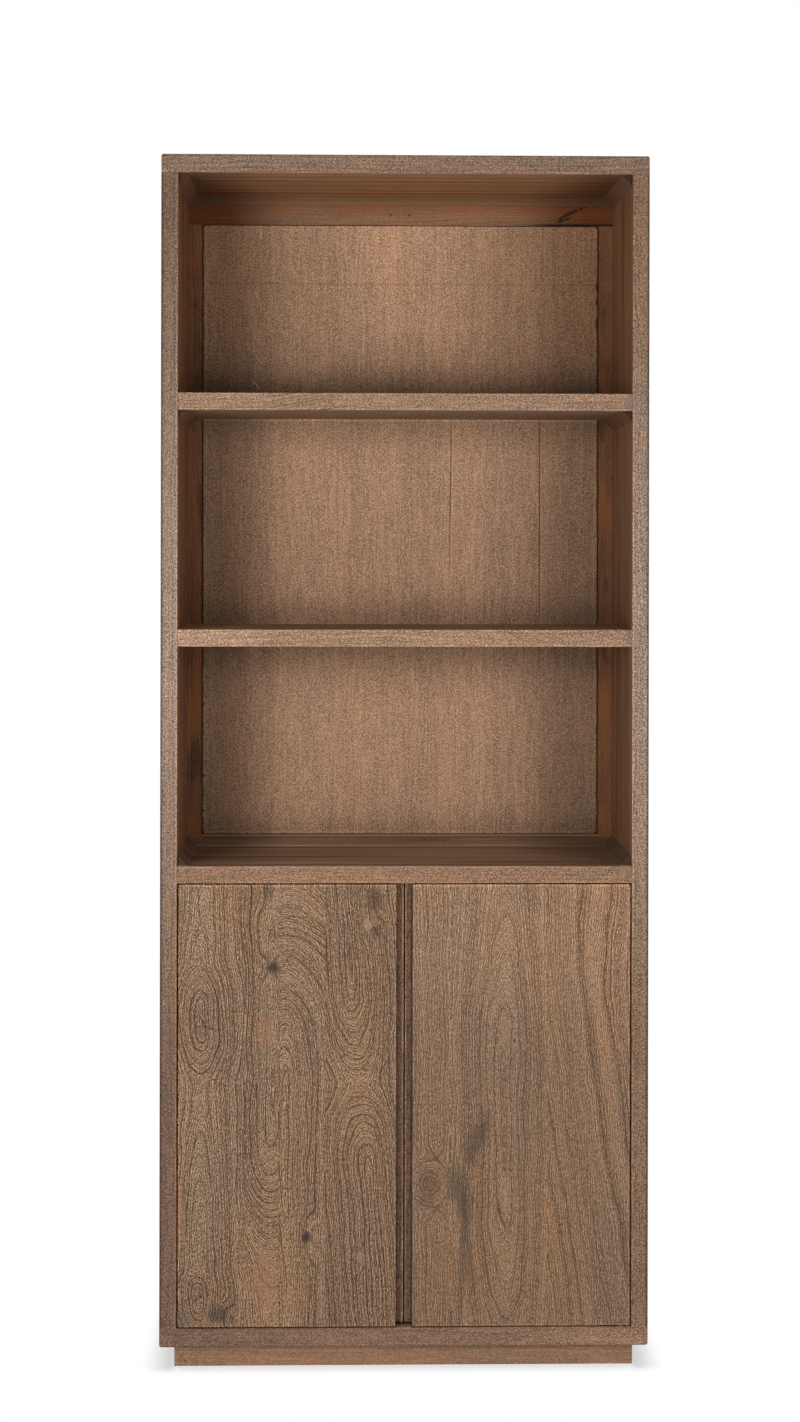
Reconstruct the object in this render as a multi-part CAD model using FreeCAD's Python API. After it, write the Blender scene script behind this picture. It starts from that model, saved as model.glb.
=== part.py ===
import FreeCAD
import Part
import os

from FreeCAD import Vector

# Bookcase of solid wood boards: three open compartments over a cabinet with two doors.
# Millimetres, front towards -Y, origin on the floor under the middle of the carcass.

# Carcass
width = 800.0
depth = 380.0
side_thickness = 28.0
board_thickness = 31.0
shelf_thickness = 28.0
compartment_height = 359.0
cabinet_height = 727.0
outer_rounding = 4.0
edge_easing = 1.0

# Plinth
plinth_height = 35.0
plinth_thickness = 20.0
plinth_setback = 20.0
plinth_side_inset = 24.0
plinth_block_size = 40.0

# Framed back
back_inset = 5.0
frame_thickness = 20.0
stile_width = 25.0
top_rail_height = 47.0
bottom_rail_height = 47.0
middle_rail_margin = 19.0
tongue_thickness = 8.0
tongue_length = 8.0
tongue_play = 1.0
field_thickness = 6.0
field_gap = 1.5
field_corner = 7.0

# Corner battens
batten_leg = 17.0
batten_setback = 8.0
back_batten_leg = 13.0

# Shelf inside the cabinet
cabinet_shelf_level = 348.0
cabinet_shelf_setback = 60.0

# Doors and their finger channel
door_thickness = 22.0
door_gap = 2.0
door_corner = 3.0
door_easing = 1.2
channel_width = 27.0
strip_thickness = 12.0
strip_lap = 30.0
strip_gap = 2.4
strip_bevel = 4.0

# Pivots of the doors
pivot_from_edge = 14.0
pivot_from_face = 7.5
pin_diameter = 6.0
pin_in_door = 13.0
pin_in_board = 8.0
running_clearance = 0.05
bush_diameter = 9.0
bush_length = 16.0
washer_diameter = 12.0
plate_length = 42.0
plate_width = 11.0
plate_thickness = 2.0
plate_end = 8.0
plate_screw_offset = 24.0

# Magnetic catches
catch_length = 34.0
catch_depth = 24.0
catch_height = 14.0
catch_from_strip = 20.0
catch_play = 0.3
magnet_length = 22.0
magnet_depth = 5.0
magnet_height = 8.0
strike_length = 30.0
strike_thickness = 1.5

# Countersunk screws
screw_head = 6.0
screw_shank = 3.0
screw_sink = 1.5
screw_bite = 12.0
screw_clearance = 0.05

# Levels, from the floor up
bottom_top = plinth_height + board_thickness
deck_under = bottom_top + cabinet_height
deck_top = deck_under + shelf_thickness
lower_under = deck_top + compartment_height
lower_top = lower_under + shelf_thickness
upper_under = lower_top + compartment_height
upper_top = upper_under + shelf_thickness
top_under = upper_top + compartment_height
height = top_under + board_thickness

# Planes across and through the carcass
front = -depth / 2
back = depth / 2
half_width = width / 2
inner_half = half_width - side_thickness
frame_back = back - back_inset
frame_front = frame_back - frame_thickness
opening_half = inner_half - stile_width
tongue_front = frame_front + field_thickness
tongue_back = tongue_front + tongue_thickness
groove_depth = tongue_length + tongue_play
top_rail_under = top_under - top_rail_height
middle_rail_top = deck_top + middle_rail_margin
middle_rail_under = deck_under - middle_rail_margin
bottom_rail_top = bottom_top + bottom_rail_height
cabinet_shelf_under = bottom_top + cabinet_shelf_level

# Planes of the doors
door_under = bottom_top + door_gap
door_top = deck_under - door_gap
door_back = front + door_thickness
door_outer = inner_half - door_gap
door_inner = channel_width / 2
strip_back = door_back + strip_thickness
strip_inner = strip_gap / 2
strip_outer = door_inner + strip_lap
pivot_x = door_outer - pivot_from_edge
pivot_y = front + pivot_from_face
catch_front = door_back + strike_thickness + catch_play
catch_x = strip_outer + catch_from_strip + catch_length / 2
catch_under = deck_under - catch_height
strike_z = deck_under - catch_height / 2

left = -1
right = 1
up = Vector(0, 0, 1)
down = Vector(0, 0, -1)
forward = Vector(0, -1, 0)
parts = {}


def span(side, near, far):
    """Coordinates of near and far on the left or right side, lower one first."""
    return sorted((side * near, side * far))


def block(x, y, z):
    """A rectangular board between three pairs of faces."""
    corner = Vector(x[0], y[0], z[0])
    return Part.makeBox(x[1] - x[0], y[1] - y[0], z[1] - z[0], corner)


def prism(points, travel):
    """A bar of polygonal section, swept along travel."""
    outline = Part.makePolygon(points + points[:1])
    return Part.Face(outline).extrude(travel)


def edges_along(solid, axis, **places):
    """Edges parallel to an axis that lie at the given x, y or z."""
    found = []
    for edge in solid.Edges:
        ends = [vertex.Point for vertex in edge.Vertexes]
        if len(ends) < 2 or abs((ends[1] - ends[0]).normalize().dot(axis)) < 0.999:
            continue
        middle = (ends[0] + ends[1]) * 0.5
        if all(abs(getattr(middle, name) - place) < 0.01 for name, place in places.items()):
            found.append(edge)
    return found


def screw(head_at, direction, length, clearance=0.0):
    """A countersunk screw, or its hole when a clearance is given."""
    head_radius = screw_head / 2 + clearance
    shank_radius = screw_shank / 2 + clearance
    head = Part.makeCone(head_radius, shank_radius, screw_sink, head_at, direction)
    shank_start = head_at + direction * screw_sink
    shank_length = length - screw_sink + clearance
    shank = Part.makeCylinder(shank_radius, shank_length, shank_start, direction)
    return head.fuse(shank).removeSplitter()


def carcass_envelope():
    """The outside of the carcass, rounded on every edge that a hand meets."""
    solid = block((-half_width, half_width), (front, back), (plinth_height, height))
    across = Vector(1, 0, 0)
    through = Vector(0, 1, 0)
    edges = []
    for z in (plinth_height, height):
        edges += edges_along(solid, across, y=front, z=z)
        for side in (left, right):
            edges += edges_along(solid, through, x=side * half_width, z=z)
    for side in (left, right):
        edges += edges_along(solid, up, x=side * half_width, y=front)
    return solid.makeFillet(outer_rounding, edges)


def front_arris(z, towards):
    """The wedge that eases a front edge between the sides, cut into a board above or below z."""
    x = -inner_half
    corner = Vector(x, front, z)
    inwards = Vector(x, front + edge_easing, z)
    upwards = Vector(x, front, z + towards * edge_easing)
    return prism([corner, inwards, upwards], Vector(2 * inner_half, 0, 0))


def pivot_holes(face_z, into):
    """Recesses in a board for its two pivot plates, with the pins and screws that pass them."""
    holes = []
    for side in (left, right):
        holes.append(pivot_plate_blank(side, face_z, into))
        holes.append(pin_bar(side, face_z, into, running_clearance))
        holes.append(plate_screw(side, face_z, into, screw_clearance))
    return holes


def pivot_plate_blank(side, face_z, into):
    """The plain bar of a pivot plate, flush with the face of its board."""
    x = span(side, pivot_x + plate_end, pivot_x + plate_end - plate_length)
    y = (pivot_y - plate_width / 2, pivot_y + plate_width / 2)
    z = sorted((face_z, face_z + into * plate_thickness))
    return block(x, y, z)


def pin_bar(side, face_z, into, clearance=0.0):
    """The pin of one pivot, from its root in the board to its end in the door."""
    root = face_z + into * (plate_thickness + pin_in_board + clearance)
    length = pin_in_board + plate_thickness + clearance + door_gap + pin_in_door
    start = Vector(side * pivot_x, pivot_y, root)
    return Part.makeCylinder(pin_diameter / 2 + clearance, length, start, up * -into)


def plate_screw(side, face_z, into, clearance=0.0):
    """The screw at the free end of a pivot plate; the pin holds the other end."""
    head_at = Vector(side * (pivot_x - plate_screw_offset), pivot_y, face_z)
    return screw(head_at, up * into, plate_thickness + screw_bite, clearance)


def catch_screw(side, clearance=0.0):
    """The screw behind the magnet that holds a catch housing under the deck."""
    screw_y = catch_front + (magnet_depth + catch_depth) / 2
    head_at = Vector(side * catch_x, screw_y, catch_under)
    return screw(head_at, up, catch_height + screw_bite, clearance)


def make_carcass():
    """Top, bottom, sides, deck and the two open shelves."""
    envelope = carcass_envelope()
    full = (-half_width, half_width)
    between = (-inner_half, inner_half)
    through = (front, back)

    top = block(full, through, (top_under, height)).common(envelope)
    parts["top_board"] = top.cut(front_arris(top_under, 1))

    bottom = block(full, through, (plinth_height, bottom_top)).common(envelope)
    bottom = bottom.cut(front_arris(bottom_top, -1))
    parts["bottom_board"] = bottom.cut(pivot_holes(bottom_top, -1))

    for side, name in ((left, "left"), (right, "right")):
        panel = block(span(side, inner_half, half_width), through, (bottom_top, top_under))
        panel = panel.common(envelope)
        inner_edge = edges_along(panel, up, x=side * inner_half, y=front)
        parts["side_panel_" + name] = panel.makeChamfer(edge_easing, inner_edge)

    for name, under, upper in (("shelf_upper", upper_under, upper_top),
                               ("shelf_lower", lower_under, lower_top),
                               ("deck_board", deck_under, deck_top)):
        shelf = block(between, (front, frame_front), (under, upper))
        front_edges = edges_along(shelf, Vector(1, 0, 0), y=front)
        parts[name] = shelf.makeChamfer(edge_easing, front_edges)
    catch_holes = [catch_screw(left, screw_clearance), catch_screw(right, screw_clearance)]
    parts["deck_board"] = parts["deck_board"].cut(pivot_holes(deck_under, 1) + catch_holes)


def make_cabinet_shelf():
    """The fixed shelf inside the cabinet, set back behind the doors."""
    setback = (front + cabinet_shelf_setback, frame_front)
    shelf_levels = (cabinet_shelf_under, cabinet_shelf_under + shelf_thickness)
    shelf = block((-inner_half, inner_half), setback, shelf_levels)
    front_edges = edges_along(shelf, Vector(1, 0, 0), y=setback[0])
    parts["cabinet_shelf"] = shelf.makeChamfer(edge_easing, front_edges)


def groove(x, z):
    """A groove of the back frame, as deep in the frame as the panels' tongues."""
    return block(x, (tongue_front, tongue_back), z)


def back_rail(x_half, under, upper):
    """A rail between the stiles, with a stub tenon at each end."""
    rail = block((-opening_half, opening_half), (frame_front, frame_back), (under, upper))
    tenon = block((-x_half, x_half), (tongue_front, tongue_back), (under, upper))
    return rail.fuse(tenon)


def back_panel(under, upper):
    """A flush panel: a field with rounded corners on a tongue that fills the frame's grooves."""
    tongue_half = opening_half + tongue_length
    tongue_levels = (under - tongue_length, upper + tongue_length)
    tongue = block((-tongue_half, tongue_half), (tongue_front, tongue_back), tongue_levels)
    field_half = opening_half - field_gap
    field_levels = (under + field_gap, upper - field_gap)
    field = block((-field_half, field_half), (frame_front, tongue_front), field_levels)
    field = field.makeFillet(field_corner, edges_along(field, Vector(0, 1, 0)))
    return field.fuse(tongue)


def make_back():
    """The framed back: grooved stiles and rails round two flush panels."""
    frame_y = (frame_front, frame_back)
    groove_half = opening_half + groove_depth
    groove_x = (-inner_half, inner_half)

    top_rail = block(groove_x, frame_y, (top_rail_under, top_under))
    top_groove = groove(groove_x, (top_rail_under, top_rail_under + groove_depth))
    parts["back_rail_top"] = top_rail.cut(top_groove)

    middle_rail = back_rail(groove_half, middle_rail_under, middle_rail_top)
    upper_groove = groove(groove_x, (middle_rail_top - groove_depth, middle_rail_top))
    lower_groove = groove(groove_x, (middle_rail_under, middle_rail_under + groove_depth))
    parts["back_rail_middle"] = middle_rail.cut([upper_groove, lower_groove])

    bottom_rail = back_rail(groove_half, bottom_top, bottom_rail_top)
    bottom_groove = groove(groove_x, (bottom_rail_top - groove_depth, bottom_rail_top))
    parts["back_rail_bottom"] = bottom_rail.cut(bottom_groove)

    for side, name in ((left, "left"), (right, "right")):
        stile_x = span(side, opening_half, inner_half)
        stile = block(stile_x, frame_y, (bottom_top, top_rail_under))
        tenon_levels = (top_rail_under, top_rail_under + groove_depth)
        tenon = block(stile_x, (tongue_front, tongue_back), tenon_levels)
        stile_groove = groove(span(side, opening_half, groove_half), (bottom_top, tenon_levels[1]))
        parts["back_stile_" + name] = stile.fuse(tenon).cut(stile_groove)

    parts["back_panel_upper"] = back_panel(middle_rail_top, top_rail_under)
    parts["back_panel_lower"] = back_panel(bottom_rail_top, middle_rail_under)


def side_batten(side, z, towards):
    """A triangular glue strip from front to back, in the corner of a board and a side."""
    x = side * inner_half
    start = front + batten_setback
    corner = Vector(x, start, z)
    along_board = Vector(x - side * batten_leg, start, z)
    along_side = Vector(x, start, z + towards * batten_leg)
    return prism([corner, along_board, along_side], Vector(0, frame_front - start, 0))


def back_batten(z, towards):
    """A thinner glue strip from side to side, in the corner of a board and the back."""
    corner = Vector(-inner_half, frame_front, z)
    along_board = corner + Vector(0, -back_batten_leg, 0)
    along_back = corner + Vector(0, 0, towards * back_batten_leg)
    return prism([corner, along_board, along_back], Vector(2 * inner_half, 0, 0))


def make_battens():
    """Corner battens: on three sides of the top and of the deck, and on two under the upper shelf."""
    for name, z, towards in (("top", top_under, -1), ("upper", upper_under, -1), ("deck", deck_top, 1)):
        side_battens = [side_batten(side, z, towards) for side in (left, right)]
        parts[name + "_batten_left"], parts[name + "_batten_right"] = side_battens
        if name != "upper":
            parts[name + "_batten_back"] = back_batten(z, towards).cut(side_battens)


def make_plinth():
    """The recessed plinth: four boards on edge with a glue block in each corner."""
    plinth_half = half_width - plinth_side_inset
    plinth_y = (front + plinth_setback, back - plinth_setback)
    levels = (0, plinth_height)
    inside_y = (plinth_y[0] + plinth_thickness, plinth_y[1] - plinth_thickness)
    inside_half = plinth_half - plinth_thickness
    full = (-plinth_half, plinth_half)
    parts["plinth_front"] = block(full, (plinth_y[0], inside_y[0]), levels)
    parts["plinth_back"] = block(full, (inside_y[1], plinth_y[1]), levels)
    parts["plinth_left"] = block(span(left, inside_half, plinth_half), inside_y, levels)
    parts["plinth_right"] = block(span(right, inside_half, plinth_half), inside_y, levels)
    blocks = []
    for side in (left, right):
        x = span(side, inside_half - plinth_block_size, inside_half)
        blocks.append(block(x, (inside_y[0], inside_y[0] + plinth_block_size), levels))
        blocks.append(block(x, (inside_y[1] - plinth_block_size, inside_y[1]), levels))
    parts["plinth_blocks"] = Part.makeCompound(blocks)


def strike_screw(side, clearance=0.0):
    """The screw through the middle of a strike plate."""
    head_at = Vector(side * catch_x, door_back + strike_thickness, strike_z)
    return screw(head_at, forward, strike_thickness + screw_bite, clearance)


def door_bush(side, edge_z, into, bore):
    """The bush of one pivot, flush with the door's edge; its plain outside when bore is 0."""
    start = Vector(side * pivot_x, pivot_y, edge_z)
    sleeve = Part.makeCylinder(bush_diameter / 2, bush_length, start, up * into)
    if bore:
        sleeve = sleeve.cut(Part.makeCylinder(bore / 2, bush_length, start, up * into))
    return sleeve


def pull_strip(side):
    """The strip behind a door's meeting edge; its rear corner is bevelled to pass the other door."""
    inner = side * strip_inner
    outer = side * strip_outer
    bevel = side * strip_bevel
    points = [Vector(inner, door_back, door_under),
              Vector(outer, door_back, door_under),
              Vector(outer, strip_back, door_under),
              Vector(inner + bevel, strip_back, door_under),
              Vector(inner, strip_back - strip_bevel, door_under)]
    return prism(points, Vector(0, 0, door_top - door_under))


def door_slab(side):
    """A slab door with rounded corners and an eased front edge."""
    slab = block(span(side, door_inner, door_outer), (front, door_back), (door_under, door_top))
    slab = slab.makeFillet(door_corner, edges_along(slab, Vector(0, 1, 0)))
    front_face = min(slab.Faces, key=lambda face: face.CenterOfMass.y)
    return slab.makeChamfer(door_easing, front_face.Edges)


def make_doors():
    """The two doors with their glued pull strips, bushes and strike plates."""
    bore = pin_diameter + 2 * running_clearance
    for side, name in ((left, "left"), (right, "right")):
        seats = [door_bush(side, door_under, 1, 0), door_bush(side, door_top, -1, 0)]
        seats.append(strike_screw(side, screw_clearance))
        parts["door_" + name] = door_slab(side).cut(seats)
        parts["pull_strip_" + name] = pull_strip(side)
        bushes = [door_bush(side, door_under, 1, bore), door_bush(side, door_top, -1, bore)]
        parts["pivot_bushes_" + name] = Part.makeCompound(bushes)
        strike_x = (side * catch_x - strike_length / 2, side * catch_x + strike_length / 2)
        strike_y = (door_back, door_back + strike_thickness)
        strike_levels = (strike_z - magnet_height / 2, strike_z + magnet_height / 2)
        strike = block(strike_x, strike_y, strike_levels)
        parts["strike_plate_" + name] = strike.cut(strike_screw(side, screw_clearance))
        parts["strike_screw_" + name] = strike_screw(side)


def make_pivots():
    """Pivot plates let into the boards, their pins and screws, and the washers under the doors."""
    pins = []
    screws = []
    for side, side_name in ((left, "left"), (right, "right")):
        for face_z, into, level in ((deck_under, 1, "top"), (bottom_top, -1, "bottom")):
            plate = pivot_plate_blank(side, face_z, into)
            holes = [pin_bar(side, face_z, into, running_clearance),
                     plate_screw(side, face_z, into, screw_clearance)]
            parts["pivot_plate_" + level + "_" + side_name] = plate.cut(holes)
            pins.append(pin_bar(side, face_z, into))
            screws.append(plate_screw(side, face_z, into))
    parts["pivot_pins"] = Part.makeCompound(pins)
    parts["pivot_plate_screws"] = Part.makeCompound(screws)

    washers = []
    for side in (left, right):
        seat = Vector(side * pivot_x, pivot_y, bottom_top)
        disc = Part.makeCylinder(washer_diameter / 2, door_gap, seat)
        washers.append(disc.cut(pin_bar(side, bottom_top, -1, running_clearance)))
    parts["pivot_washers"] = Part.makeCompound(washers)


def make_catches():
    """Magnetic catches under the deck, one behind each door."""
    screws = []
    for side, name in ((left, "left"), (right, "right")):
        x = side * catch_x
        catch_y = (catch_front, catch_front + catch_depth)
        housing = block((x - catch_length / 2, x + catch_length / 2), catch_y, (catch_under, deck_under))
        magnet_x = (x - magnet_length / 2, x + magnet_length / 2)
        magnet_levels = (strike_z - magnet_height / 2, strike_z + magnet_height / 2)
        magnet = block(magnet_x, (catch_front, catch_front + magnet_depth), magnet_levels)
        parts["catch_magnet_" + name] = magnet
        parts["catch_housing_" + name] = housing.cut([magnet, catch_screw(side, screw_clearance)])
        screws.append(catch_screw(side))
    parts["catch_screws"] = Part.makeCompound(screws)


make_carcass()
make_cabinet_shelf()
make_back()
make_battens()
make_plinth()
make_doors()
make_pivots()
make_catches()

os.makedirs("parts", exist_ok=True)
for node, shape in parts.items():
    shape.exportStep("parts/" + node + ".step")
print(len(parts), "nodes, height", height)
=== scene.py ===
import math

import bpy
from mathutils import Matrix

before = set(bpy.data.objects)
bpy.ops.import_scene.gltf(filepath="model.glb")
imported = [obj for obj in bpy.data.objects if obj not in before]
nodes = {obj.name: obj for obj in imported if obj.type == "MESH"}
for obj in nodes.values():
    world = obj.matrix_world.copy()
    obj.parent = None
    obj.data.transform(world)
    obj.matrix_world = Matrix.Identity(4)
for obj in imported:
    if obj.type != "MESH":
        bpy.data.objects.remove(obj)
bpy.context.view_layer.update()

# Edges of the boards, in metres from the middle of the bookcase and from the floor
side_inner = 0.3735
side_outer = 0.3995
door_outer = 0.3690
door_inner = 0.0145
door_foot = 0.0690
door_head = 0.7900
top_under = 1.9555
upper_shelf_edges = (1.5685, 1.5935)
lower_shelf_edges = (1.1815, 1.2065)
deck_edges = (0.7945, 0.8195)
deck_batten_foot = 0.8212
bottom_upper = 0.0650
panel_edge = 0.3465

# Depths at which one face of a board passes into the next, in metres from the middle towards the wall
front_rounding = (-0.1888, -0.178)
batten_ends = (-0.1819, -0.1812)
back_front = (0.1655, 0.1670)
back_recess = (0.1760, 0.1780)


def stain(red, green, blue):
    """A stain as on a paint card, 0 to 255 a channel, as the linear colour a shader takes."""
    def channel(level):
        level /= 255
        return level / 12.92 if level <= 0.04045 else ((level + 0.055) / 1.055) ** 2.4
    return channel(red), channel(green), channel(blue), 1.0


def tint(red, green, blue):
    """A linear colour, or what to multiply one by, with its alpha."""
    return red, green, blue, 1.0


def even(level):
    """A grey, or a tint that lightens or darkens a colour and keeps its hue."""
    return tint(level, level, level)


class Value:
    """A number that varies over a surface; sums and products on it add Math nodes."""

    def __init__(self, finish, socket):
        self.finish = finish
        self.socket = socket

    def math(self, operation, first, second=None):
        return self.finish.node("ShaderNodeMath", {"operation": operation}, {0: first, 1: second})[0]

    def __add__(self, other):
        return self.math("ADD", self, other)

    def __sub__(self, other):
        return self.math("SUBTRACT", self, other)

    def __rsub__(self, other):
        return self.math("SUBTRACT", other, self)

    def __mul__(self, other):
        return self.math("MULTIPLY", self, other)

    def __truediv__(self, other):
        return self.math("DIVIDE", self, other)

    def __pow__(self, power):
        return self.math("POWER", self, power)

    def __abs__(self):
        return self.math("ABSOLUTE", self)

    __radd__ = __add__
    __rmul__ = __mul__


class Finish:
    """A finish being mixed: a material, its nodes, and the place on the bookcase as x, y, z."""

    def __init__(self, name):
        self.material = bpy.data.materials.new(name)
        self.material.use_nodes = True
        self.tree = self.material.node_tree
        self.surface = self.tree.nodes["Principled BSDF"]
        self.place = self.node("ShaderNodeTexCoord", {}, {})[3]
        self.x, self.y, self.z = self.node("ShaderNodeSeparateXYZ", {}, {0: self.place})

    def node(self, kind, settings, sockets):
        """Adds a node of a kind, with its settings and what its sockets take; gives its outputs."""
        made = self.tree.nodes.new(kind)
        for name, value in settings.items():
            if name == "stops":
                self.set_stops(made.color_ramp, value)
            else:
                setattr(made, name, value)
        for key, value in sockets.items():
            if isinstance(value, Value):
                self.tree.links.new(value.socket, made.inputs[key])
            elif value is not None:
                made.inputs[key].default_value = value
        return [Value(self, output) for output in made.outputs]

    def set_stops(self, ramp, stops):
        """Gives a ramp its stops, each a position and a level, with a smooth curve through them."""
        ramp.interpolation = "CARDINAL"
        while len(ramp.elements) < len(stops):
            ramp.elements.new(1.0)
        for element, (position, level) in zip(ramp.elements, stops):
            element.position = position
            element.color = even(level)

    def point(self, x, y, z):
        return self.node("ShaderNodeCombineXYZ", {}, {0: x, 1: y, 2: z})[0]

    def noise(self, point, scale=1.0, detail=2.0, roughness=0.5):
        """Cloudy variation about 0.5 over a place."""
        sockets = {"Vector": point, "Scale": scale, "Detail": detail, "Roughness": roughness}
        return self.node("ShaderNodeTexNoise", {}, sockets)[0]

    def noise_along(self, value, scale=1.0, detail=1.0):
        """Cloudy variation about 0.5 along one value."""
        sockets = {"W": value, "Scale": scale, "Detail": detail}
        return self.node("ShaderNodeTexNoise", {"noise_dimensions": "1D"}, sockets)[0]

    def fibres(self, angle, scale, frequency):
        """Fine streaks over the front along the grain; the angle is that of the line across it."""
        front = self.point(self.x, self.z, 0.0)
        evenness = 1.0
        sockets = {"Vector": front, "Scale": scale, "Frequency": frequency, 3: evenness, 4: angle}
        return self.node("ShaderNodeTexGabor", {"gabor_type": "2D"}, sockets)[0]

    def smooth(self, value, low, high):
        """0 below low, 1 above high, with an easy slope between."""
        settings = {"interpolation_type": "SMOOTHSTEP"}
        return self.node("ShaderNodeMapRange", settings, {0: value, 1: low, 2: high, 3: 0.0, 4: 1.0})[0]

    def blend(self, share, under, over):
        """The colour under, with a share of the colour over laid on it."""
        sockets = {0: share, 6: under, 7: over}
        return self.node("ShaderNodeMix", {"data_type": "RGBA"}, sockets)[2]

    def shade(self, colour, share, tone):
        """The colour, multiplied towards a tone by a share."""
        settings = {"data_type": "RGBA", "blend_type": "MULTIPLY"}
        return self.node("ShaderNodeMix", settings, {0: share, 6: colour, 7: tone})[2]

    def rim(self, value, edge, width):
        """1 on an edge, easing to 0 at a width from it."""
        return 1 - self.smooth(abs(value - edge), width * 0.3, width)

    def reach(self, x, z, half_width, half_height):
        """How far a spot is from the middle of an oval on the front, 1 on its rim."""
        across = (self.x - x) / half_width
        along = (self.z - z) / half_height
        return (across * across + along * along) ** 0.5

    def spot(self, x, z, half_width, half_height, ragged=0.0):
        """1 in the middle of an oval on the front, easing to 0 at its rim."""
        reach = self.reach(x, z, half_width, half_height)
        if ragged:
            reach = reach + (self.noise(self.place, 120.0, 2.0) - 0.5) * ragged
        return 1 - self.smooth(reach, 0.25, 1.0)

    def lay(self, colour, roughness, height, depth, specular=0.14):
        """Links a colour, a roughness and a bump to the surface."""
        self.surface.inputs["Specular IOR Level"].default_value = specular
        sockets = {"Strength": 1.0, "Distance": depth, "Height": height}
        bump = self.node("ShaderNodeBump", {}, sockets)[0]
        for value, socket in ((colour, "Base Color"), (roughness, "Roughness"), (bump, "Normal")):
            self.tree.links.new(value.socket, self.surface.inputs[socket])
        return self.material


def dress(material, *names):
    """Gives CAD nodes a material."""
    for name in names:
        mesh = nodes[name].data
        mesh.materials.clear()
        mesh.materials.append(material)


# Grain of sawn boards

def ring_lines(finish, field, slope, spacing):
    """Dark late-wood lines of growth rings, uneven in spacing and strength.

    The field is in metres across the rings, and the slope is how fast it grows over the face of the board.
    """
    unevenness = 1.2
    late_wood = 0.6
    flattest = 0.03
    core, rim = 0.0003, 0.0013
    faintest = 0.15
    turns = field / spacing + finish.noise_along(field, 0.35 / spacing) * unevenness
    ring = finish.node("ShaderNodeMath", {"operation": "FLOOR"}, {0: turns})[0]
    strength = finish.node("ShaderNodeTexWhiteNoise", {"noise_dimensions": "1D"}, {"W": ring})[0]
    gap = abs(turns - ring - late_wood) * spacing / (slope + flattest)
    line = 1 - finish.smooth(gap, core, rim)
    return line * (finish.smooth(strength, 0.0, 0.9) * (1 - faintest) + faintest)


def board_grain(finish, field, fibre_point, tones, spacing, lines, flecks):
    """Colours sawn wood: drifting stain, growth bands and lines, pores and pale limed flecks.

    The fibre point is the place on the board in metres: across the fibres, along them and through it.
    """
    slope = 1.0
    bands = 0.35
    across, along, through = finish.node("ShaderNodeSeparateXYZ", {}, {0: fibre_point})
    drift = finish.noise(finish.point(across * 14.0, along * 2.6, through), 1.0, 3.0, 0.6)
    colour = finish.blend(finish.smooth(drift, 0.36, 0.64), tones["cool"], tones["warm"])
    band = finish.noise_along(field, 0.4 / spacing, 2.0)
    colour = finish.blend(finish.smooth(band, 0.42, 0.66) * bands, colour, tones["dark"])
    fibre = finish.noise(finish.point(across * 330.0, along * 20.0, through * 330.0), 1.0, 2.0, 0.6)
    colour = finish.blend(finish.smooth(fibre, 0.5, 0.66) * flecks * 0.5, colour, tones["pore"])
    colour = finish.blend((1 - finish.smooth(fibre, 0.34, 0.5)) * flecks * 0.35, colour, tones["limed"])
    patchy = finish.noise(finish.point(across * 25.0, along * 7.0, through), 1.0, 2.0)
    patchy = finish.smooth(patchy, 0.28, 0.55)
    line = ring_lines(finish, field, slope, spacing) * (patchy * 0.6 + 0.4)
    faint = ring_lines(finish, field + 0.171, slope, spacing * 0.4)
    speck = finish.noise(finish.point(across * 920.0, along * 360.0, through * 920.0), 1.0, 2.0, 0.75)
    pore = finish.smooth(speck, 0.5, 0.6)
    limed = 1 - finish.smooth(speck, 0.4, 0.5)
    colour = finish.blend(pore * flecks, colour, tones["pore"])
    colour = finish.blend(limed * flecks, colour, tones["limed"])
    colour = finish.blend(faint * lines * 0.35, colour, tones["line"])
    colour = finish.blend(line * lines, colour, tones["line"])
    height = limed * 0.35 - pore * 0.5 - line * 0.6
    roughness = 0.58 + pore * 0.14
    return colour, roughness, height


door_tones = {
    "warm": stain(154, 117, 86),
    "cool": stain(137, 111, 88),
    "dark": stain(110, 83, 60),
    "line": stain(60, 40, 27),
    "pore": stain(80, 57, 41),
    "limed": stain(192, 161, 132),
}


def wander(finish, seed):
    """The sideways wander of the grain along a board, in metres."""
    slow = finish.noise(finish.point(finish.x * 14.0, seed, finish.z * 5.0), 1.0, 2.0) - 0.5
    quick = finish.noise(finish.point(finish.x * 45.0, seed, finish.z * 16.0), 1.0, 2.0) - 0.5
    return slow * 0.03 + quick * 0.008


def sawn_depth(finish, z, scale, levels):
    """How deep in the log a stave's face lies at a height, from heights and shares of a scale."""
    low, high = 0.067, 0.787
    span = high - low
    stops = [((level - low) / span, share) for level, share in levels]
    return finish.node("ShaderNodeValToRGB", {"stops": stops}, {0: (z - low) / span})[0] * scale


def stave(finish, pith, lean, scale, levels):
    """The grain of a stave: how far the heart of the log is, how fast that grows, and at which angle."""
    step = 0.004
    depth = sawn_depth(finish, finish.z, scale, levels)
    rise = (sawn_depth(finish, finish.z + step, scale, levels) - depth) / step
    across = finish.x - pith
    across = across + abs(across) * lean
    field = (across * across + depth * depth) ** 0.5
    climb = depth * rise
    slope = (across * across + climb * climb) ** 0.5 / (field + 0.0005)
    angle = finish.node("ShaderNodeMath", {"operation": "ARCTAN2"}, {0: climb, 1: across})[0]
    return field, slope, angle


def join_staves(finish, first, *others):
    """The grain of a door glued up from staves, each with its left edge and its own grain."""
    grain = first
    for number, (edge, (field, slope, angle)) in enumerate(others):
        beyond = finish.smooth(finish.x, edge - 0.0003, edge + 0.0003)
        following = (field + (number + 1) * 0.37, slope, angle)
        grain = [here + (there - here) * beyond for here, there in zip(grain, following)]
    return grain


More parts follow.
